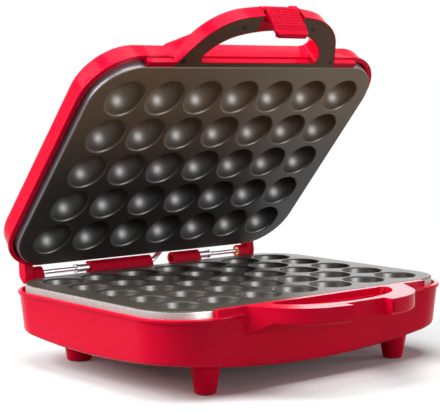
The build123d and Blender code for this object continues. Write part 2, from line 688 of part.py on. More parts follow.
def lid_block(inset):
    """Outside of the lid's casing, or its inside when inset by the wall."""
    start = LIP_DEPTH if inset == 0 else 0
    draft = math.radians(LID_DRAFT)
    bend = math.tan((math.radians(LID_SLOPE) - draft) / 2)
    shoulder = LID_WALL_TOP - inset * bend
    spread = math.tan(draft) * (LIP_DEPTH - start)
    body = Pos(0, 0, start) * extrude(case_plan(inset - spread), shoulder - start, taper=LID_DRAFT)
    top_inset = inset + math.tan(draft) * (shoulder - LIP_DEPTH)
    body += Pos(0, 0, shoulder) * extrude(case_plan(top_inset), LID_TOP - inset - shoulder, taper=LID_SLOPE)
    return body


def hinge_profile(radius, axis_z, wall_from, wall_to, tail=()):
    """Round eye about the hinge axis, drawn out to the casing's rear wall and any tail."""
    wall_y = CASE_HALF_Y - 2 * CASING_WALL
    eye = Pos(HINGE_Y, axis_z) * Circle(radius)
    root = Line((wall_y, wall_from), (wall_y, wall_to))
    return make_hull([*eye.edges(), root, *tail])


def lug_profile(root_height):
    """Side view of the base's lugs and barrels."""
    root = LIP_DEPTH + BEAD_HEIGHT
    return hinge_profile(LUG_RADIUS, -HINGE_ABOVE, root, root + root_height)


def ear_profile():
    """Side view of the lid's ears, with their pointed tail behind the axis."""
    root = LIP_DEPTH + BEAD_HEIGHT / 2
    tail = Pos(HINGE_Y + EAR_TAIL_BACK, HINGE_ABOVE - EAR_TAIL_DROP) * Circle(EAR_TAIL_RADIUS)
    return hinge_profile(EAR_RADIUS, HINGE_ABOVE, root, root + EAR_ROOT, tail.edges())


def leg(x, y, top_radius, foot_radius, skin=0.0):
    """Tapered leg from inside the floor to just above the table."""
    foot = PARTING_HEIGHT - PAD_PROUD
    start = BELLY_DEPTH - LEG_ROOT
    length = foot - start
    return Pos(x, y, start + length / 2) * Cone(top_radius - skin, foot_radius - skin, length)


def leg_places():
    """(x, y, top radius, foot radius) of the four legs."""
    places = []
    for side in MIRROR_SIDES:
        places.append((side * LEG_X, FRONT_LEG_Y, FRONT_LEG_TOP_RADIUS, FRONT_LEG_FOOT_RADIUS))
        places.append((side * LEG_X, BACK_LEG_Y, BACK_LEG_TOP_RADIUS, BACK_LEG_FOOT_RADIUS))
    return places


def base_casing():
    outside = base_block(0)
    belly_edge = outside.faces().sort_by(Axis.Z)[-1].outer_wire().edges()
    outside = fillet(belly_edge, BELLY_EDGE_RADIUS)
    legs = [leg(*place) for place in leg_places()]
    outside = outside + edge_bead() + handle_bar(BASE_BAR_FRONT_Y) + legs
    lug = lug_profile(LUG_ROOT)
    barrel = lug_profile(GLAND_DEPTH - GLAND_REACH - GLAND_GAP - LIP_DEPTH - BEAD_HEIGHT)
    outside += [side_slab(lug, LUG_INNER_X, LUG_OUTER_X), side_slab(lug, -LUG_OUTER_X, -LUG_INNER_X)]
    # the base is drawn turned over, so the barrels' left and right change sides here
    outside += [side_slab(barrel, -LEAD_LUG_END, BARREL_HALF), side_slab(barrel, -BARREL_HALF, -RIGHT_BARREL_X)]
    body = outside - base_block(CASING_WALL)
    body += front_wall()
    inside = belly_ball(CASING_WALL / 2)
    body += [post & inside for post in carrier_posts(BELLY_DEPTH)]
    half_block = BLOCK_LENGTH / 2
    block_under = BLOCK_TOP_DEPTH + BLOCK_HEIGHT
    near, far = BLOCK_Y - BLOCK_FOOT, BLOCK_Y + BLOCK_FOOT
    body += block(-half_block, half_block, near, far, block_under, BELLY_DEPTH) & inside
    body -= bar_hollow()
    body -= carrier_post_holes()
    bush_seat = HINGE_PIN_RADIUS + RUNNING_GAP + BUSH_WALL + SEAT_GAP
    for side in MIRROR_SIDES:
        body -= rod_x(bush_seat, side * (LUG_INNER_X - 1), side * (LUG_OUTER_X + 1), HINGE_Y, -HINGE_ABOVE)
    barrel_ends = (-BARREL_HALF - 1, BARREL_HALF + 1)
    body -= rod_x(SLEEVE_RADIUS + SLEEVE_CLEARANCE, *barrel_ends, HINGE_Y, -HINGE_ABOVE)
    for x, y, _, foot_radius in leg_places():
        seat = foot_radius - PAD_MARGIN + PAD_CLEARANCE
        body -= rod_z(seat, x, y, PARTING_HEIGHT - PAD_THICKNESS, PARTING_HEIGHT)
    return body - gland_hole()


def gland_hole():
    radius = GLAND_BORE_RADIUS + GLAND_WALL + SEAT_GAP
    return rod_y(radius, GLAND_X, CASE_HALF_Y - 4 * CASING_WALL, CASE_HALF_Y + CASING_WALL, GLAND_DEPTH)


def lid_casing():
    outside = lid_block(0)
    shoulder = [e for e in outside.edges() if abs(e.center().Z - LID_WALL_TOP) < 0.01]
    outside = fillet(shoulder, LID_SHOULDER_RADIUS)
    crown = [e for e in outside.edges() if abs(e.center().Z - LID_TOP) < 0.01]
    outside = fillet(crown, LID_TOP_RADIUS)
    outside = outside + edge_bead() + handle_bar(LID_BAR_FRONT_Y)
    ear = ear_profile()
    outside += [side_slab(ear, EAR_INNER_X, EAR_OUTER_X), side_slab(ear, -EAR_OUTER_X, -EAR_INNER_X)]
    body = outside - lid_block(CASING_WALL)
    body += front_wall()
    body += [post & lid_block(CASING_WALL / 2) for post in carrier_posts(LID_TOP)]
    body -= carrier_post_holes()
    body -= [Pos(0, 0, FACE) * loss for loss in handle_recess()]
    for side in MIRROR_SIDES:
        ends = (side * (EAR_INNER_X - 1), side * (EAR_OUTER_X - EAR_SKIN))
        body -= rod_x(HINGE_PIN_RADIUS + SEAT_GAP, *ends, HINGE_Y, HINGE_ABOVE)
        body -= rod_z(LENS_RADIUS + SEAT_GAP, side * LAMP_X, LAMP_Y, LID_TOP - 3 * CASING_WALL, LID_TOP + 1)
    pin_end = LATCH_NOTCH_WIDTH / 2 + LATCH_PIN_BITE
    body -= rod_x(LATCH_PIN_RADIUS + SEAT_GAP, -pin_end, pin_end, LATCH_PIN_Y, LATCH_PIN_DEPTH)
    return body - along(sleeve_path(), SLEEVE_RADIUS + SLEEVE_CLEARANCE)


# ---------------------------------------------------------------- base's own pieces
def foot_pads():
    return [
        rod_z(foot_radius - PAD_MARGIN, x, y, PARTING_HEIGHT - PAD_THICKNESS, PARTING_HEIGHT)
        for x, y, top_radius, foot_radius in leg_places()
    ]


def thermostat():
    """Disc thermostat flat against the plate's back, between four pockets."""
    x, y = HALF_PITCH + POCKET_PITCH, HALF_PITCH
    top = FACE + PLATE_SKIN
    end = top + THERMOSTAT_HEIGHT
    body = rod_z(THERMOSTAT_RADIUS, x, y, top, top + THERMOSTAT_FLANGE)
    body += rod_z(THERMOSTAT_CAN_RADIUS, x, y, top, end)
    half = THERMOSTAT_TAB_WIDTH / 2
    for side in MIRROR_SIDES:
        middle = x + side * THERMOSTAT_TAB_REACH
        sheet = (y - THERMOSTAT_TAB / 2, y + THERMOSTAT_TAB / 2)
        body += block(middle - half, middle + half, *sheet, end - 1, end + THERMOSTAT_TAB_LENGTH)
    return body


def thermal_fuse():
    """Cut-out in a shoe against the carrier's back."""
    half = FUSE_LENGTH / 2
    shoe_back = CARRIER_BACK + FUSE_SHOE
    shoe = block(-half, half, HALF_PITCH - FUSE_RADIUS, HALF_PITCH + FUSE_RADIUS, CARRIER_BACK, shoe_back)
    depth = shoe_back + FUSE_RADIUS * FUSE_SINK
    return shoe + rod_x(FUSE_RADIUS, -half - FUSE_TAIL, half + FUSE_TAIL, HALF_PITCH, depth)


def terminal_block():
    half = BLOCK_LENGTH / 2
    sides = (BLOCK_Y - BLOCK_WIDTH / 2, BLOCK_Y + BLOCK_WIDTH / 2)
    body = block(-half, half, *sides, BLOCK_TOP_DEPTH, BLOCK_TOP_DEPTH + BLOCK_HEIGHT)
    pitch = BLOCK_LENGTH / BLOCK_WAYS
    for way in range(BLOCK_WAYS):
        x = (way - (BLOCK_WAYS - 1) / 2) * pitch
        body -= rod_y(BLOCK_WAY_RADIUS, x, *sides, BLOCK_TOP_DEPTH + BLOCK_HEIGHT / 2)
    return body


def cord_gland():
    """Rubber gland in the rear wall."""
    outer = GLAND_BORE_RADIUS + GLAND_WALL
    ends = (GLAND_Y - GLAND_INSIDE, GLAND_Y + GLAND_FLANGE_THICKNESS)
    gland = rod_y(outer, GLAND_X, *ends, GLAND_DEPTH)
    gland += rod_y(outer + GLAND_FLANGE, GLAND_X, GLAND_Y, ends[1], GLAND_DEPTH)
    return gland - rod_y(GLAND_BORE_RADIUS, GLAND_X, *ends, GLAND_DEPTH)


def lead(points, bend):
    """One insulated wire along a bent line."""
    return along(FilletPolyline(*points, radius=bend), LEAD_RADIUS)


def lower_leads():
    """Wires from the terminal block to the element's pins and to the fuse."""
    pitch = BLOCK_LENGTH / BLOCK_WAYS
    way_z = BLOCK_TOP_DEPTH + BLOCK_HEIGHT / 2
    back_y = BLOCK_Y + BLOCK_WIDTH / 2
    front_y = BLOCK_Y - BLOCK_WIDTH / 2
    pin_end = ELEMENT_LEG_DEPTH + TERMINAL_PIN_LENGTH
    bend = 2 * LEAD_RADIUS
    over_pin = max(way_z, pin_end + LEAD_RISE * bend)
    fuse_z = CARRIER_BACK + FUSE_SHOE + FUSE_RADIUS * FUSE_SINK
    fuse_x = FUSE_LENGTH / 2 + FUSE_TAIL
    wires = []
    for side in MIRROR_SIDES:
        to_pin = [
            (side * pitch, back_y - LEAD_BITE, way_z),
            (side * pitch, back_y + 2 * LEAD_BITE, way_z),
            (side * HALF_PITCH, ELEMENT_LEG_Y, over_pin),
            (side * HALF_PITCH, ELEMENT_LEG_Y, pin_end),
        ]
        wires.append(lead(to_pin, bend))
    to_fuse = [
        (fuse_x, HALF_PITCH, fuse_z),
        (fuse_x + 3 * LEAD_BITE, HALF_PITCH, fuse_z),
        (pitch, front_y - 3 * LEAD_BITE, way_z),
        (pitch, front_y + LEAD_BITE, way_z),
    ]
    wires.append(lead(to_fuse, 3 * LEAD_RADIUS))
    return wires


# ---------------------------------------------------------------- lid's own pieces
def sleeve_path():
    """Centre line of the lead sleeve: along the hinge axis, up behind the lid's rear wall, and in."""
    axis_x = LEAD_LUG_X - LEAD_LUG_WIDTH / 2 + 1
    skirt_end = FACE + SKIRT_DEPTH
    crossing = skirt_end + 2 * SLEEVE_RADIUS
    return FilletPolyline(
        (axis_x, HINGE_Y, HINGE_ABOVE),
        (SLEEVE_TURN_X, HINGE_Y, HINGE_ABOVE),
        (SLEEVE_TURN_X + SLEEVE_RUN, HINGE_Y - 1, crossing - 1.5),
        (SLEEVE_TURN_X + 1.4 * SLEEVE_RUN, CASE_HALF_Y - CASING_WALL - 2 * SLEEVE_RADIUS, crossing + 1),
        radius=SLEEVE_BEND,
    )


def lead_sleeve():
    path = sleeve_path()
    return along(path, SLEEVE_RADIUS) - along(path, SLEEVE_RADIUS - SLEEVE_WALL)


def lens(side):
    """Lamp lens in the lid's top, a domed cap with a short barrel."""
    x = side * LAMP_X
    cap = rod_z(LENS_RADIUS + LENS_FLANGE, x, LAMP_Y, LID_TOP, LID_TOP + LENS_PROUD)
    cap = fillet(cap.faces().sort_by(Axis.Z)[-1].edges(), LENS_PROUD * 0.7)
    cap += rod_z(LENS_RADIUS, x, LAMP_Y, LID_TOP - LENS_BARREL, LID_TOP)
    return cap - rod_z(LAMP_RADIUS + SEAT_GAP, x, LAMP_Y, LID_TOP - LENS_BARREL - 1, LID_TOP - 1.5)


def lamp(side):
    """Small glow lamp pushed into its lens."""
    x = side * LAMP_X
    return rod_z(LAMP_RADIUS, x, LAMP_Y, LID_TOP - 2 - LAMP_LENGTH, LID_TOP - 2)


def hinge_pin(side):
    """Shaft from the lid's ear through the base's lug and into its barrel, with a rimmed collar."""
    ends = (side * (BARREL_HALF - PIN_REACH), side * (EAR_OUTER_X - EAR_SKIN - PIN_END_GAP))
    pin = rod_x(HINGE_PIN_RADIUS, *ends, HINGE_Y, HINGE_ABOVE)
    start = BARREL_HALF + COLLAR_GAP
    rim = start + COLLAR_LENGTH
    pin += rod_x(COLLAR_RADIUS, side * start, side * rim, HINGE_Y, HINGE_ABOVE)
    return pin + rod_x(COLLAR_RIM_RADIUS, side * rim, side * (rim + COLLAR_RIM), HINGE_Y, HINGE_ABOVE)


def hinge_bush(side):
    """Bush in the base's lug, drawn about the closed hinge axis of the whole maker."""
    outer = HINGE_PIN_RADIUS + RUNNING_GAP + BUSH_WALL
    bush = rod_x(outer, side * LUG_INNER_X, side * LUG_OUTER_X, HINGE_Y, HINGE_ABOVE)
    ends = (side * (LUG_INNER_X - 1), side * (LUG_OUTER_X + 1))
    return bush - rod_x(HINGE_PIN_RADIUS + RUNNING_GAP, *ends, HINGE_Y, HINGE_ABOVE)


def latch_pin():
    end = LATCH_NOTCH_WIDTH / 2 + LATCH_PIN_BITE - 0.2
    return rod_x(LATCH_PIN_RADIUS, -end, end, LATCH_PIN_Y, LATCH_PIN_DEPTH)


def latch():
    """Finger plate hung on its pin, with a tab that hooks under the base's handle."""
    front = LATCH_PIN_Y - LATCH_HUB_RADIUS
    ridge = (front + RIDGE_LEAN, LATCH_PIN_DEPTH - RIDGE_DROP)
    step_y = ridge[0] + RIDGE_STEP
    hook_top = -HANDLE_THICKNESS - HOOK_DROP
    hook_low = hook_top - HOOK_HEIGHT
    tip = BASE_BAR_FRONT_Y - HOOK_GAP
    root = BASE_BAR_FRONT_Y - HOOK_ROOT_GAP
    profile = make_face(
        Polyline(
            (front, LATCH_PIN_DEPTH),
            ridge,
            (step_y, ridge[1] - RIDGE_STEP),
            (step_y + TAB_LEAN, hook_low + TAB_ROUND),
            (step_y + TAB_LEAN + TAB_ROUND, hook_low),
            (tip - TAB_ROUND / 2, hook_low),
            (tip, hook_low + TAB_ROUND / 2),
            (tip, hook_top),
            (root, hook_top + HOOK_GAP),
            (ridge[0] + LATCH_PLATE, ridge[1]),
            (LATCH_PIN_Y + LATCH_HUB_RADIUS / 3, LATCH_PIN_DEPTH - LATCH_HUB_RADIUS),
            (LATCH_PIN_Y, LATCH_PIN_DEPTH),
            close=True,
        )
    )
    half = LATCH_WIDTH / 2
    half_hub = LATCH_NOTCH_WIDTH / 2 - LATCH_SIDE_GAP
    tall = 2 * (LATCH_PIN_DEPTH - hook_low)
    front_view = Pos(0, hook_low + tall / 2) * RectangleRounded(LATCH_WIDTH, tall, TAB_CORNER)
    outline = extrude(Plane.XZ * front_view, 2 * abs(LATCH_PIN_Y), both=True)
    body = side_slab(profile, -half, half) & outline
    body += rod_x(LATCH_HUB_RADIUS, -half_hub, half_hub, LATCH_PIN_Y, LATCH_PIN_DEPTH)
    loop_ends = (LOOP_X - LOOP_WIDTH / 2, LOOP_X + LOOP_WIDTH / 2)
    above = block(*loop_ends, front, LATCH_PIN_Y + LOOP_RADIUS / 3, LATCH_PIN_DEPTH, 2 * LATCH_PIN_DEPTH)
    body += rod_x(LOOP_RADIUS, *loop_ends, LATCH_PIN_Y, LATCH_PIN_DEPTH) & above
    bore = LATCH_PIN_RADIUS + RUNNING_GAP
    return body - rod_x(bore, -LATCH_NOTCH_WIDTH, LATCH_NOTCH_WIDTH, LATCH_PIN_Y, LATCH_PIN_DEPTH)


# ---------------------------------------------------------------- assembly
def as_list(shape):
    return list(shape) if isinstance(shape, (list, tuple)) else [shape]


def to_base(shape):
    """Half frame to the lower half: turned over, front kept at the front."""
    return [Rot(0, 180, 0) * item for item in as_list(shape)]


def to_lid(shape):
    """Half frame to the upper half, swung open about the hinge."""
    return [
        Pos(0, HINGE_Y, HINGE_ABOVE) * Rot(-LID_OPEN_ANGLE, 0, 0) * Pos(0, -HINGE_Y, -HINGE_ABOVE) * item
        for item in as_list(shape)
    ]


def build_nodes():
    nodes = {
        "base_casing": to_base(base_casing()),
        "foot_pads": to_base(foot_pads()),
        "thermostat": to_base(thermostat()),
        "thermal_fuse": to_base(thermal_fuse()),
        "terminal_block": to_base(terminal_block()),
        "cord_gland": to_base(cord_gland()),
        "lower_leads": to_base(lower_leads()),
        "lid_casing": to_lid(lid_casing()),
        "handle_cover": to_lid(Pos(0, 0, FACE) * handle_cover()),
        "handle_cover_screws": to_lid([Pos(0, 0, FACE) * screw for screw in cover_screws()]),
        "lead_sleeve": to_lid(lead_sleeve()),
        "latch_pin": to_lid(latch_pin()),
        "latch": to_lid(latch()),
    }
    shared = {
        "plate": plate(),
        "element": element(),
        "element_beads": element_beads(),
        "element_props": element_props(),
        "carrier": carrier(),
        "carrier_screws": carrier_screws(),
        "plate_retainers": plate_retainers(),
    }
    for name, shape in shared.items():
        nodes["lower_" + name] = to_base(shape)
        nodes["upper_" + name] = to_lid(shape)
    for side, word in ((-1, "left"), (1, "right")):
        nodes["hinge_pin_" + word] = to_lid(hinge_pin(side))
        nodes["hinge_bush_" + word] = as_list(hinge_bush(side))
    for side, word in ((-1, "power"), (1, "ready")):
        nodes[word + "_lens"] = to_lid(lens(side))
        nodes[word + "_lamp"] = to_lid(lamp(side))
    return nodes


def main():
    os.makedirs("parts", exist_ok=True)
    nodes = build_nodes()
    whole = Compound(children=[item for items in nodes.values() for item in items]).bounding_box()
    middle = whole.center()
    placed = Pos(-middle.X, -middle.Y, -whole.min.Z)
    print("origin shift", -middle.X, -middle.Y, -whole.min.Z)
    print("hinge axis y, z", HINGE_Y - middle.Y, HINGE_ABOVE - whole.min.Z)
    for name, items in nodes.items():
        solids = [solid for item in items for solid in (placed * item).solids()]
        export_step(Compound(children=solids) if len(solids) > 1 else solids[0], f"parts/{name}.step")


main()
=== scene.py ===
import json
import math
import bpy
from mathutils import Matrix, Vector

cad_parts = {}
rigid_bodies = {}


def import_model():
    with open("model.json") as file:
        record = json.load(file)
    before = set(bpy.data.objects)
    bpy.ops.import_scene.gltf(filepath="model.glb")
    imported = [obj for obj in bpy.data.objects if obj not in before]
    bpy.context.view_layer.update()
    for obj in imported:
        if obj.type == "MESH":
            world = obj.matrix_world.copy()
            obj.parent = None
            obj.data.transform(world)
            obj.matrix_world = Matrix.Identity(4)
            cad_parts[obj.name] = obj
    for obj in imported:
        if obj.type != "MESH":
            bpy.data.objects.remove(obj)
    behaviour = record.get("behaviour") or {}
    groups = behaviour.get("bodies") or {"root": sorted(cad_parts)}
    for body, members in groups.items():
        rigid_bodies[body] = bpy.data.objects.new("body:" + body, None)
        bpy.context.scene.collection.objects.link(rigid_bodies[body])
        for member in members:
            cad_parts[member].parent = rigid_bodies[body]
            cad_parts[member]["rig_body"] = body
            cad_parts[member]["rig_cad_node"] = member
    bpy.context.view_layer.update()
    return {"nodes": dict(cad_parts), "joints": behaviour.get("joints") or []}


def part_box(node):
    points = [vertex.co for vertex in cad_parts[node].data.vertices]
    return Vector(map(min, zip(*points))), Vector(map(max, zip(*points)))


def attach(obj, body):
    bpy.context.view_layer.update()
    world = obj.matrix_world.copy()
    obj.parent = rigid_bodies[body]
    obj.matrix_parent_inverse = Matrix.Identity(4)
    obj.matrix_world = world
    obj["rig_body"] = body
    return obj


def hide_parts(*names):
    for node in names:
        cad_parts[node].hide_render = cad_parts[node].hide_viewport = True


# An open countertop maker: a red base and a red lid, each with a dark plate of round pockets.
# Metres, in the frame's own axes. Pieces of either half are modelled closed, in a half
# frame where z = 0 is the plane in which the plates meet and +z leads away from it. The
# lower half is that frame turned over, and the upper half is swung open about the hinge.

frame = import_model()
MM = 0.001

# ---- where the halves lie ----
JOINTS = {joint["name"]: joint for joint in frame["joints"]}
HINGE = Vector(JOINTS["lid_hinge"]["pos_m"])
LID_SWING = math.radians(JOINTS["lid_hinge"]["range_deg"][0])
PLATE_LOW, PLATE_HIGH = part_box("lower_plate")
FACE = 0.25 * MM  # plate's face to the plane in which the plates meet
CENTRE = Vector((0, (PLATE_LOW.y + PLATE_HIGH.y) / 2, PLATE_HIGH.z + FACE))
LOWER = Matrix.Translation(CENTRE) @ Matrix.Rotation(math.pi, 4, "Y")
CLOSED = Matrix.Translation(CENTRE)
SWING = Matrix.Translation(HINGE) @ Matrix.Rotation(LID_SWING, 4, "X") @ Matrix.Translation(-HINGE)
UPPER = SWING @ CLOSED

# ---- plates ----
PITCH = 38 * MM
COLUMNS, ROWS = 7, 5
BALL = 16.7 * MM
BALL_SEGMENTS, BALL_RINGS = 48, 24
RIM_ROUND = 1.65 * MM
PLATE_X = (PLATE_HIGH.x - PLATE_LOW.x) / 2
PLATE_Y = (PLATE_HIGH.y - PLATE_LOW.y) / 2
PLATE_CORNER = 37 * MM
PLATE_EDGE = 1.5 * MM
ROUND_STEPS = 4  # cuts across the plate's edge and the pockets' rims
SKIRT = 12.25 * MM
BLANK = 18.5 * MM  # the blank's depth, before its back is opened
PLATE_WALL = 2.4 * MM
BARE_FROM = FACE + PLATE_EDGE * 0.6  # where the coat ends, down the edge
BARE_UPRIGHT = 0.7  # how upright a bare face is, as the level share of its normal
BARE_OUTER = 0.86  # how far out a bare face lies, in shares of the plate's half size

# ---- latch's finger plate, closed in the half frame ----
GRIP_PIN = Vector((0, -156.5 * MM, 9.0 * MM))
GRIP_HUB = 3.6 * MM
GRIP_RIDGE = Vector((0, -156.3 * MM, -9.0 * MM))
GRIP_PITCH = 2.7 * MM
GRIP_COLUMNS, GRIP_ROWS = 12, 7
GRIP_START = 0.3  # first row's way down the plate, in pitches
HUB_ROWS = (25, 65)  # rows over the hub, in degrees above level
DOT = 0.95 * MM
DOT_RISE = 0.5 * MM
DOT_SEGMENTS, DOT_RINGS = 10, 6
DOT_CUT = 0.1  # depth at which the dot's ball is cut off, in radii

# ---- surfaces ----
SAME = 1e-6  # two places this close are one place
SLACK = 1e-5  # room when a face's height is tested
FLAT = 0.99  # a normal's share along z on a flat back
MERGE_ANGLE = math.radians(0.2)  # flatter joins in a copied solid are dissolved
NEARLY_ROUND = 0.01  # play in a rim edge's distance from its pocket, in radii
GRAIN_DETAIL = 3
GRAIN_DEPTH = 0.1 * MM
GLOSS_SPREAD = 0.15  # how far the grain changes the roughness, as a share
# colour of the reflection painted into the top of the lid's coat
REFLECTION_COLOUR = (0.20, 0.132, 0.070)
REFLECTION_FROM, REFLECTION_TO = 0.13, 0.235  # heights between which a painted reflection turns the lid's coat brown

# ---- floor ----
FLOOR_WHITE = (0.83, 0.87, 0.87)
FLOOR_BOUNCE = 0.3
FLOOR_LIFT = 0.02
FADE_FROM = 0.16  # the floor's shadows fade out between these two reaches
FADE_TO = 0.42
ROOM_LIGHT = 0.09  # what the white room gives to the object

# ---- camera, fitted to the pocket grid and the casing's edges ----
SENSOR_WIDTH = 36
PHOTO_WIDTH = 440
FOCAL_PIXELS = 1367.49
CAMERA_FROM_CENTRE = Vector((-0.72566, -0.84002, 0.16297))
CAMERA_DOWN = 5.369  # degrees below level
CAMERA_ROLL = 0.159
CAMERA_HEADING = -40.36


# ---------------------------------------------------------------- handling meshes
def pick(piece):
    """Makes a piece the only selected one."""
    bpy.ops.object.select_all(action="DESELECT")
    piece.select_set(True)
    bpy.context.view_layer.objects.active = piece


def mark(piece, faces=None, edges=None, points=None):
    """Selects faces, edges or points by a test on each."""
    mesh = piece.data
    ends = [[mesh.vertices[i].co for i in edge.vertices] for edge in mesh.edges]
    picked = [bool(faces and faces(face)) for face in mesh.polygons]
    mesh.polygons.foreach_set("select", picked)
    picked = [bool(edges and edges(a, b)) for a, b in ends]
    mesh.edges.foreach_set("select", picked)
    picked = [bool(points and points(point.co)) for point in mesh.vertices]
    mesh.vertices.foreach_set("select", picked)


def enter(piece, kind):
    """Opens a piece in edit mode with faces, edges or points selectable."""
    pick(piece)
    kinds = ("VERT", "EDGE", "FACE")
    bpy.context.tool_settings.mesh_select_mode = [kind == each for each in kinds]
    bpy.ops.object.mode_set(mode="EDIT")


def leave():
    bpy.ops.object.mode_set(mode="OBJECT")


def bevel_edges(piece, test, width, steps):
    """Rounds the edges that pass a test on their two ends."""
    mark(piece, edges=test)
    enter(piece, "EDGE")
    bpy.ops.mesh.bevel(offset=width, segments=steps, affect="EDGES")
    leave()


def near(a, b):
    return abs(a - b) < SAME


def slab(name, half_x, half_y, corner, z_from, z_to, steps=12):
    """A flat blank with rounded corners."""
    middle, half_z = (z_from + z_to) / 2, (z_to - z_from) / 2
    bpy.ops.object.select_all(action="DESELECT")
    bpy.ops.mesh.primitive_cube_add(size=2, location=(0, 0, middle), scale=(half_x, half_y, half_z))
    blank = bpy.context.object
    blank.name = name
    bpy.ops.object.transform_apply()
    bevel_edges(blank, lambda a, b: not near(a.z, b.z), corner, steps)
    return blank


def duplicate(piece, name):
    """A copy with its own mesh."""
    twin = piece.copy()
    twin.data = piece.data.copy()
    twin.name = name
    bpy.context.collection.objects.link(twin)
    return twin


def join(pieces):
    bpy.ops.object.select_all(action="DESELECT")
    for piece in pieces:
        piece.select_set(True)
    bpy.context.view_layer.objects.active = pieces[0]
    bpy.ops.object.join()
    return pieces[0]


def cut(piece, tool, way="DIFFERENCE"):
    """Boolean that uses its tool up."""
    pick(piece)
    change = piece.modifiers.new("cut", "BOOLEAN")
    change.operation = way
    change.object = tool
    change.solver = "EXACT"
    bpy.ops.object.modifier_apply(modifier="cut")
    bpy.data.objects.remove(tool)


def smooth(piece, degrees=40):
    """Soft shading that keeps the flat faces flat."""
    pick(piece)
    bpy.ops.object.shade_smooth_by_angle(angle=math.radians(degrees))
    change = piece.modifiers.new("normals", "WEIGHTED_NORMAL")
    change.keep_sharp = True
    bpy.ops.object.modifier_apply(modifier="normals")


def seat(piece, place, body, *nodes):
    """Puts a finished piece in the frame and lets it stand for its nodes."""
    piece.matrix_world = place
    pick(piece)
    bpy.ops.object.transform_apply()
    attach(piece, body)
    if nodes:
        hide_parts(*nodes)


# ---------------------------------------------------------------- plates
def pocket_places():
    return [
        ((column - (COLUMNS - 1) / 2) * PITCH, (row - (ROWS - 1) / 2) * PITCH)
        for column in range(COLUMNS)
        for row in range(ROWS)
    ]


def on_rim(a, b):
    """Whether an edge of the plate's face belongs to a pocket's mouth."""
    if not (near(a.z, FACE) and near(b.z, FACE)):
        return False
    middle = (a + b) / 2
    x, y = min(pocket_places(), key=lambda spot: math.hypot(middle.x - spot[0], middle.y - spot[1]))
    play = BALL * NEARLY_ROUND
    return all(abs(math.hypot(end.x - x, end.y - y) - BALL) < play for end in (a, b))


def pocket_tool():
    """All the balls that shape the pockets, as one cutter."""
    bpy.ops.object.select_all(action="DESELECT")
    bpy.ops.mesh.primitive_uv_sphere_add(
        segments=BALL_SEGMENTS, ring_count=BALL_RINGS, radius=BALL
    )
    ball = bpy.context.object
    balls = []
    for x, y in pocket_places():
        twin = duplicate(ball, "ball")
        twin.location = (x, y, 0)
        balls.append(twin)
    bpy.data.objects.remove(ball)
    return join(balls)


def pocketed_plate(name):
    """A blank, cut by the balls, opened at the back and given its casting wall."""
    plate = slab(name, PLATE_X, PLATE_Y, PLATE_CORNER, FACE, BLANK)
    bevel_edges(plate, lambda a, b: near(a.z, FACE) and near(b.z, FACE), PLATE_EDGE, ROUND_STEPS)
    cut(plate, pocket_tool())
    bevel_edges(plate, on_rim, RIM_ROUND, ROUND_STEPS)
    mark(plate, faces=lambda face: face.normal.z > FLAT and face.center.z > BLANK - SLACK)
    enter(plate, "FACE")
    bpy.ops.mesh.delete(type="FACE")
    leave()
    for point in plate.data.vertices:
        if near(point.co.z, BLANK):
            point.co.z = SKIRT
    wall = plate.modifiers.new("wall", "SOLIDIFY")
    wall.thickness = PLATE_WALL
    wall.offset = -1
    pick(plate)
    bpy.ops.object.modifier_apply(modifier="wall")
    smooth(plate)
    return plate


def bare_skirt(plate, coat, bare):
    """Coated face and pockets, bare metal down the edge."""
    plate.data.materials.clear()
    plate.data.materials.append(coat)
    plate.data.materials.append(bare)
    for face in plate.data.polygons:
        spot = face.center
        down_the_edge = BARE_FROM < spot.z < SKIRT + SLACK
        upright = math.hypot(face.normal.x, face.normal.y) > BARE_UPRIGHT
        outer = max(abs(spot.x) / PLATE_X, abs(spot.y) / PLATE_Y) > BARE_OUTER
        if down_the_edge and upright and outer and not in_pocket(spot):
            face.material_index = 1


def in_pocket(spot):
    return any(math.hypot(spot.x - x, spot.y - y) < BALL + RIM_ROUND for x, y in pocket_places())


# ---------------------------------------------------------------- finishes
def finish(name, colour, roughness, metal=0.0, shine=0.5, bump=0.0, grain=900.0, mottle=0.0):
    """A shader with a fine grain in its colour, gloss and surface."""
    material = bpy.data.materials.new(name)
    material.use_nodes = True
    nodes, links = material.node_tree.nodes, material.node_tree.links
    shader = nodes["Principled BSDF"]
    shader.inputs["Metallic"].default_value = metal
    shader.inputs["Specular IOR Level"].default_value = shine
    place = nodes.new("ShaderNodeTexCoord")
    noise = nodes.new("ShaderNodeTexNoise")
    noise.inputs["Scale"].default_value = grain
    noise.inputs["Detail"].default_value = GRAIN_DETAIL
    links.new(place.outputs["Object"], noise.inputs["Vector"])
    tint = nodes.new("ShaderNodeMix")
    tint.data_type = "RGBA"
    tint.inputs["A"].default_value = (*[channel * (1 - mottle) for channel in colour], 1)
    tint.inputs["B"].default_value = (*[min(1, channel * (1 + mottle)) for channel in colour], 1)
    links.new(noise.outputs["Fac"], tint.inputs["Factor"])
    links.new(tint.outputs["Result"], shader.inputs["Base Color"])
    gloss = nodes.new("ShaderNodeMapRange")
    gloss.inputs["To Min"].default_value = roughness * (1 - GLOSS_SPREAD)
    gloss.inputs["To Max"].default_value = roughness * (1 + GLOSS_SPREAD)
    links.new(noise.outputs["Fac"], gloss.inputs["Value"])
    links.new(gloss.outputs["Result"], shader.inputs["Roughness"])
    if bump:
        relief = nodes.new("ShaderNodeBump")
        relief.inputs["Strength"].default_value = bump
        relief.inputs["Distance"].default_value = GRAIN_DEPTH
        links.new(noise.outputs["Fac"], relief.inputs["Height"])
        links.new(relief.outputs["Normal"], shader.inputs["Normal"])
    return material


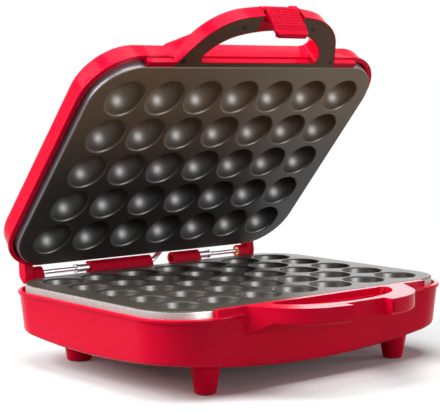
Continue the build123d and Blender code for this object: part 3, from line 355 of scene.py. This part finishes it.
def painted_reflection_by_height(material, colour, height_from, height_to):
    """Paints a reflection into a finish: its colour turns slowly to another with height, as the lid
    stands open.
    """
    nodes, links = material.node_tree.nodes, material.node_tree.links
    place = next(node for node in nodes if node.type == "TEX_COORD")
    split = nodes.new("ShaderNodeSeparateXYZ")
    links.new(place.outputs["Object"], split.inputs["Vector"])
    rise = nodes.new("ShaderNodeMapRange")
    rise.interpolation_type = "SMOOTHSTEP"
    rise.inputs["From Min"].default_value = height_from
    rise.inputs["From Max"].default_value = height_to
    links.new(split.outputs["Z"], rise.inputs["Value"])
    under = next(node for node in nodes if node.type == "MIX")
    reflection_tint = nodes.new("ShaderNodeMix")
    reflection_tint.data_type = "RGBA"
    reflection_tint.inputs["B"].default_value = (*colour, 1)
    links.new(under.outputs["Result"], reflection_tint.inputs["A"])
    links.new(rise.outputs["Result"], reflection_tint.inputs["Factor"])
    links.new(reflection_tint.outputs["Result"], nodes["Principled BSDF"].inputs["Base Color"])


CRIMSON = finish(
    "crimson_moulding", (0.82, 0.0025, 0.034), 0.17, shine=0.04, bump=0.03, mottle=0.02
)
COVER = finish(
    "brown_black_cover", (0.135, 0.068, 0.036), 0.36, shine=0.1, bump=0.1, mottle=0.1
)
COAT = finish("nonstick_coat", (0.050, 0.041, 0.032), 0.40, shine=0.4, bump=0.1, mottle=0.2)
# The lid plate's coat is the same coating as the lower plate's, drawn darker as painted shade and
# browned at its top as a painted reflection.
LID_COAT_PAINTED_SHADE_AND_REFLECTION = finish(
    "nonstick_coat_painted_shade_and_reflection", (0.022, 0.019, 0.018), 0.44, shine=0.4, bump=0.1, mottle=0.2
)
# the lid's coat turns brown towards its top, a painted reflection
painted_reflection_by_height(LID_COAT_PAINTED_SHADE_AND_REFLECTION, REFLECTION_COLOUR, REFLECTION_FROM, REFLECTION_TO)
BARE = finish(
    "bare_casting", (0.50, 0.50, 0.49), 0.40,
    metal=0.25, shine=0.3, bump=0.6, grain=500.0, mottle=0.3,
)
# The lid plate's bare casting is the same metal as the lower plate's, drawn darker and bluer as
# painted shade.
LID_BARE_PAINTED_SHADE = finish(
    "bare_casting_painted_shade", (0.30, 0.31, 0.34), 0.42, metal=0.9, bump=0.6, grain=500.0, mottle=0.2
)
STEEL = finish("bright_steel", (0.60, 0.60, 0.60), 0.25, metal=1.0, bump=0.1, mottle=0.05)
SHEET = finish(
    "galvanised_sheet", (0.66, 0.67, 0.68), 0.35, metal=1.0, bump=0.2, grain=200.0, mottle=0.12
)
BLACK_STEEL = finish(
    "blackened_steel", (0.02, 0.018, 0.017), 0.35, metal=0.8, bump=0.1, mottle=0.1
)
ELEMENT = finish("heater_sheath", (0.16, 0.14, 0.13), 0.5, metal=0.9, bump=0.2, mottle=0.2)
CERAMIC = finish("ceramic", (0.80, 0.78, 0.72), 0.6, bump=0.1, mottle=0.04)
BRASS = finish("turned_brass", (0.68, 0.46, 0.16), 0.3, metal=1.0, bump=0.1, mottle=0.06)
RUBBER = finish("black_rubber", (0.015, 0.015, 0.015), 0.75, shine=0.3, bump=0.4, mottle=0.2)
GLAND = finish("gland_rubber", (0.018, 0.018, 0.018), 0.6, shine=0.3, bump=0.3, mottle=0.2)
WHITE = finish("white_moulding", (0.75, 0.74, 0.70), 0.45, bump=0.1, mottle=0.04)
WIRE = finish("woven_sleeving", (0.70, 0.69, 0.64), 0.8, bump=0.8, grain=1500.0, mottle=0.1)
RED_LENS = finish("red_lens", (0.55, 0.01, 0.01), 0.12, mottle=0.02)
GREEN_LENS = finish("green_lens", (0.01, 0.35, 0.05), 0.12, mottle=0.02)
LAMP = finish("lamp_glass", (0.80, 0.62, 0.45), 0.15, mottle=0.02)

NODE_FINISHES = {
    "base_casing": CRIMSON,
    "lid_casing": CRIMSON,
    "latch": CRIMSON,
    "handle_cover": COVER,
    "handle_cover_screws": BLACK_STEEL,
    "foot_pads": RUBBER,
    "cord_gland": GLAND,
    "terminal_block": WHITE,
    "thermostat": WHITE,
    "thermal_fuse": STEEL,
    "lower_leads": WIRE,
    "lead_sleeve": STEEL,
    "hinge_pin_left": STEEL,
    "hinge_pin_right": STEEL,
    "hinge_bush_left": BRASS,
    "hinge_bush_right": BRASS,
    "latch_pin": STEEL,
    "power_lens": RED_LENS,
    "ready_lens": GREEN_LENS,
    "power_lamp": LAMP,
    "ready_lamp": LAMP,
}
for half in ("lower", "upper"):
    NODE_FINISHES[half + "_plate"] = COAT if half == "lower" else LID_COAT_PAINTED_SHADE_AND_REFLECTION
    NODE_FINISHES[half + "_element"] = ELEMENT
    NODE_FINISHES[half + "_element_beads"] = CERAMIC
    NODE_FINISHES[half + "_element_props"] = SHEET
    NODE_FINISHES[half + "_carrier"] = SHEET
    NODE_FINISHES[half + "_carrier_screws"] = STEEL
    NODE_FINISHES[half + "_plate_retainers"] = STEEL

for node, material in NODE_FINISHES.items():
    shown = frame["nodes"][node]
    shown.data.materials.clear()
    shown.data.materials.append(material)


# ---------------------------------------------------------------- smoothed copies of the solids
def smoothed_node(node, name, degrees=35):
    """A copy of a solid with its flat faces merged and its round ones shaded softly."""
    twin = duplicate(frame["nodes"][node], name)
    twin.parent = None
    enter(twin, "VERT")
    bpy.ops.mesh.select_all(action="SELECT")
    bpy.ops.mesh.remove_doubles(threshold=SAME)
    bpy.ops.mesh.dissolve_limited(angle_limit=MERGE_ANGLE)
    leave()
    smooth(twin, degrees)
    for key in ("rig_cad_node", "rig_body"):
        if key in twin:
            del twin[key]
    return twin


lower_plate = pocketed_plate("lower_pocket_plate")
bare_skirt(lower_plate, COAT, BARE)
upper_plate = duplicate(lower_plate, "upper_pocket_plate")
# The upper plate takes the coat and the bare casting drawn with painted shade, and the painted
# reflection.
upper_plate.data.materials[0] = LID_COAT_PAINTED_SHADE_AND_REFLECTION
upper_plate.data.materials[1] = LID_BARE_PAINTED_SHADE
seat(lower_plate, LOWER, "base", "lower_plate")
seat(upper_plate, UPPER, "lid", "upper_plate")

for node, name, body, slot in (
    ("base_casing", "base_shell", "base", "red_plastic"),
    ("lid_casing", "lid_shell", "lid", "red_plastic"),
    ("latch", "latch_lever", "latch", "red_plastic"),
    ("handle_cover", "grip_cover", "lid", "dark_plastic"),
):
    shell = smoothed_node(node, name)
    seat(shell, Matrix.Identity(4), body, node)


# ---------------------------------------------------------------- latch
def raised_dot():
    """Low round dome on z = 0, its rim sunk a little below."""
    bpy.ops.object.select_all(action="DESELECT")
    bpy.ops.mesh.primitive_uv_sphere_add(segments=DOT_SEGMENTS, ring_count=DOT_RINGS, radius=DOT)
    dot = bpy.context.object
    mark(dot, points=lambda spot: spot.z < -DOT * DOT_CUT)
    enter(dot, "VERT")
    bpy.ops.mesh.delete(type="VERT")
    bpy.ops.mesh.select_all(action="SELECT")
    bpy.ops.mesh.region_to_loop()
    bpy.ops.mesh.edge_face_add()
    leave()
    dot.data.transform(Matrix.Diagonal((1, 1, DOT_RISE / DOT, 1)))
    return dot


def grip_dots():
    """Rows of dots over the latch's hub and down its finger plate to the ridge."""
    front = GRIP_PIN + Vector((0, -GRIP_HUB, 0))
    slope = (GRIP_RIDGE - front).normalized()
    outward = Vector((0, slope.z, -slope.y))
    rows = [
        (front + slope * GRIP_PITCH * (row + GRIP_START), outward) for row in range(GRIP_ROWS)
    ]
    for degrees in HUB_ROWS:
        around = Vector((0, -math.cos(math.radians(degrees)), math.sin(math.radians(degrees))))
        rows.append((GRIP_PIN + around * GRIP_HUB, around))
    first = raised_dot()
    dots = []
    for place, normal in rows:
        turn = Vector((0, 0, 1)).rotation_difference(normal).to_matrix().to_4x4()
        for column in range(GRIP_COLUMNS):
            twin = duplicate(first, "dot")
            across = Vector(((column - (GRIP_COLUMNS - 1) / 2) * GRIP_PITCH, 0, 0))
            twin.data.transform(Matrix.Translation(place + across) @ turn)
            dots.append(twin)
    bpy.data.objects.remove(first)
    grip = join(dots)
    grip.name = "grip_dots"
    grip.data.materials.clear()
    grip.data.materials.append(CRIMSON)
    smooth(grip, 60)
    return grip


dots = grip_dots()
seat(dots, UPPER, "latch")


# ---------------------------------------------------------------- floor, light and camera
def seen_directly(nodes, links):
    """1 where the camera, a reflection or clear glass looks, and 0 for bounced light."""
    path = nodes.new("ShaderNodeLightPath")
    total = path.outputs["Is Camera Ray"]
    for kind in ("Is Glossy Ray", "Is Transmission Ray"):
        either = nodes.new("ShaderNodeMath")
        either.operation = "MAXIMUM"
        links.new(total, either.inputs[0])
        links.new(path.outputs[kind], either.inputs[1])
        total = either.outputs["Value"]
    return total


def white_paper():
    """White where it is looked at, a soft grey for the light it throws back, faded out far away."""
    material = bpy.data.materials.new("white_paper")
    material.use_nodes = True
    nodes, links = material.node_tree.nodes, material.node_tree.links
    nodes.remove(nodes["Principled BSDF"])
    sheet = nodes.new("ShaderNodeBsdfDiffuse")
    shade = nodes.new("ShaderNodeMix")
    shade.data_type = "RGBA"
    shade.inputs["A"].default_value = (*[FLOOR_BOUNCE] * 3, 1)
    shade.inputs["B"].default_value = (*FLOOR_WHITE, 1)
    looked_at = seen_directly(nodes, links)
    links.new(looked_at, shade.inputs["Factor"])
    links.new(shade.outputs["Result"], sheet.inputs["Color"])
    glow = nodes.new("ShaderNodeEmission")
    lift = nodes.new("ShaderNodeMath")
    lift.operation = "MULTIPLY"
    lift.inputs[1].default_value = FLOOR_LIFT
    links.new(looked_at, lift.inputs[0])
    links.new(lift.outputs["Value"], glow.inputs["Strength"])
    lit = nodes.new("ShaderNodeAddShader")
    links.new(sheet.outputs["BSDF"], lit.inputs[0])
    links.new(glow.outputs["Emission"], lit.inputs[1])
    place = nodes.new("ShaderNodeTexCoord")
    reach = nodes.new("ShaderNodeVectorMath")
    reach.operation = "LENGTH"
    links.new(place.outputs["Object"], reach.inputs[0])
    fade = nodes.new("ShaderNodeMapRange")
    fade.interpolation_type = "SMOOTHSTEP"
    fade.inputs["From Min"].default_value = FADE_FROM
    fade.inputs["From Max"].default_value = FADE_TO
    links.new(reach.outputs["Value"], fade.inputs["Value"])
    clear = nodes.new("ShaderNodeBsdfTransparent")
    blend = nodes.new("ShaderNodeMixShader")
    links.new(fade.outputs["Result"], blend.inputs["Fac"])
    links.new(lit.outputs["Shader"], blend.inputs[1])
    links.new(clear.outputs["BSDF"], blend.inputs[2])
    links.new(blend.outputs["Shader"], nodes["Material Output"].inputs["Surface"])
    return material


def studio_floor():
    """A square of the paper, as wide as its fade."""
    bpy.ops.object.select_all(action="DESELECT")
    bpy.ops.mesh.primitive_plane_add(size=2 * FADE_TO, location=(0, 0, 0))
    floor = bpy.context.object
    floor.name = "studio_floor"
    floor.data.materials.append(white_paper())


def soft_light(name, place, aim, size, power, highlights_only=False):
    """A rectangular lamp, which may be left out of the plain light on matt surfaces."""
    lamp = bpy.data.lights.new(name, "AREA")
    lamp.shape = "RECTANGLE"
    lamp.size, lamp.size_y = size
    lamp.energy = power
    holder = bpy.data.objects.new(name, lamp)
    holder.location = place
    holder.rotation_euler = (Vector(aim) - Vector(place)).to_track_quat("-Z", "Y").to_euler()
    holder.visible_diffuse = not highlights_only
    bpy.context.scene.collection.objects.link(holder)


def white_surround(strength):
    """White all round where it is looked at, and a weaker light on the object."""
    world = bpy.data.worlds.new("white_room")
    world.use_nodes = True
    nodes, links = world.node_tree.nodes, world.node_tree.links
    light = nodes["Background"]
    light.inputs["Color"].default_value = (1, 1, 1, 1)
    amount = nodes.new("ShaderNodeMapRange")
    amount.inputs["To Min"].default_value = strength
    amount.inputs["To Max"].default_value = 1.0
    links.new(seen_directly(nodes, links), amount.inputs["Value"])
    links.new(amount.outputs["Result"], light.inputs["Strength"])
    bpy.context.scene.world = world


def photo_camera():
    """The photograph's viewpoint."""
    view = bpy.data.cameras.new("photo_view")
    view.sensor_width = SENSOR_WIDTH
    view.lens = SENSOR_WIDTH * FOCAL_PIXELS / PHOTO_WIDTH
    holder = bpy.data.objects.new("photo_view", view)
    holder.location = CENTRE + CAMERA_FROM_CENTRE
    angles = (90 - CAMERA_DOWN, CAMERA_ROLL, CAMERA_HEADING)
    holder.rotation_euler = [math.radians(angle) for angle in angles]
    bpy.context.scene.collection.objects.link(holder)
    bpy.context.scene.camera = holder


studio_floor()
# each lamp's place, what it looks at, its size and its watts
soft_light("key_from_left", (-1.2, 0.5, 0.95), (0, 0, 0.08), (1.1, 1.1), 30)
soft_light("top_sheet", (0.0, -0.05, 1.7), (0, 0, 0.1), (1.3, 1.3), 31)
soft_light("front_spot", (0.15, -1.6, 0.40), (0, 0, 0.15), (0.36, 0.36), 3.2)
soft_light(
    "pocket_glow", (0.15, -1.6, 0.45), (0, 0, 0.15), (0.85, 0.85), 74, highlights_only=True
)
soft_light("right_strip", (1.35, -0.75, 0.45), (0, 0, 0.08), (0.4, 0.6), 4.2)
soft_light("back_glow", (1.15, 1.35, 0.32), (0, 0, 0.1), (1.1, 0.6), 3.8)
white_surround(ROOM_LIGHT)
photo_camera()
bpy.context.scene.view_settings.view_transform = "Standard"
